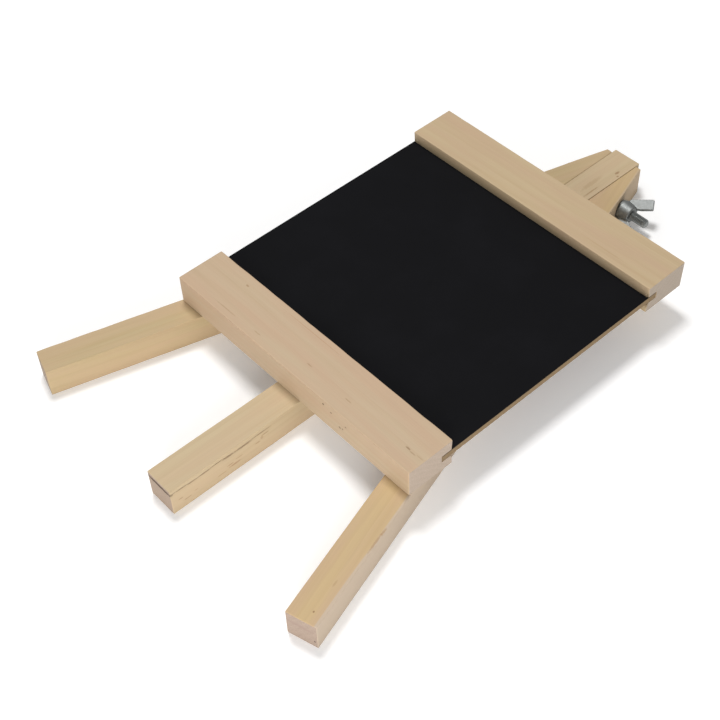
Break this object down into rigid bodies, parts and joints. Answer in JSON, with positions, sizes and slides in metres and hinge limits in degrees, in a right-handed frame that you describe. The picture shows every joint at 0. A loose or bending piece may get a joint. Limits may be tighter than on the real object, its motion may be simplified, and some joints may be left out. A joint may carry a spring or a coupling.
{
  "type": "tabletop easel",
  "caption": "Folding wooden tabletop easel: splayed side legs, a rear leg hinged on a bolt with a wing nut, and a blackboard panel held in two grooved crossbars.",
  "frame": {"origin": "middle of the outline as the easel lies folded on its back, on the plane of the legs' backs", "axes": "+X to the easel's right seen from the front, along the pivot bolt; +Y up the easel, from the feet to the top; +Z out of the front of the board"},
  "size_m": [0.2024, 0.3126, 0.032],
  "materials": {
    "pine_legs": "planed and sanded, unfinished",
    "pine_crossbars": "planed and sanded, unfinished",
    "board_paint": "matte black chalkboard paint on hardboard",
    "zinc_steel": "bright zinc plated"
  },
  "bodies": {
    "frame": {"left_leg": "pine_legs", "right_leg": "pine_legs", "lower_crossbar": "pine_crossbars", "upper_crossbar": "pine_crossbars", "pivot_bolt": "zinc_steel", "crossbar_screws": "zinc_steel"},
    "rear_leg": {"rear_leg": "pine_legs"},
    "washer": {"nut_washer": "zinc_steel"},
    "wing_nut": {"wing_nut": "zinc_steel"},
    "board": {"blackboard": "board_paint"}
  },
  "joints": [
    {"name": "rear_leg_hinge", "type": "hinge", "parent": "frame", "child": "rear_leg", "pos_m": [0, 0.13, 0.008], "axis": [1, 0, 0], "range_deg": [0, 60]},
    {"name": "nut_travel", "type": "slide", "parent": "frame", "child": "washer", "axis": [1, 0, 0], "range_m": [0, 0.0035]},
    {"name": "nut_spin", "type": "hinge", "parent": "washer", "child": "wing_nut", "pos_m": [0.02, 0.13, 0.008], "axis": [1, 0, 0], "range_deg": [0, 1530]},
    {"name": "board_slide", "type": "slide", "parent": "frame", "child": "board", "axis": [1, 0, 0], "range_m": [-0.15, 0.15]}
  ],
  "couplings": [
    {"joint": "nut_travel", "follows": "nut_spin", "m_per_rad": 0.00012732}
  ]
}
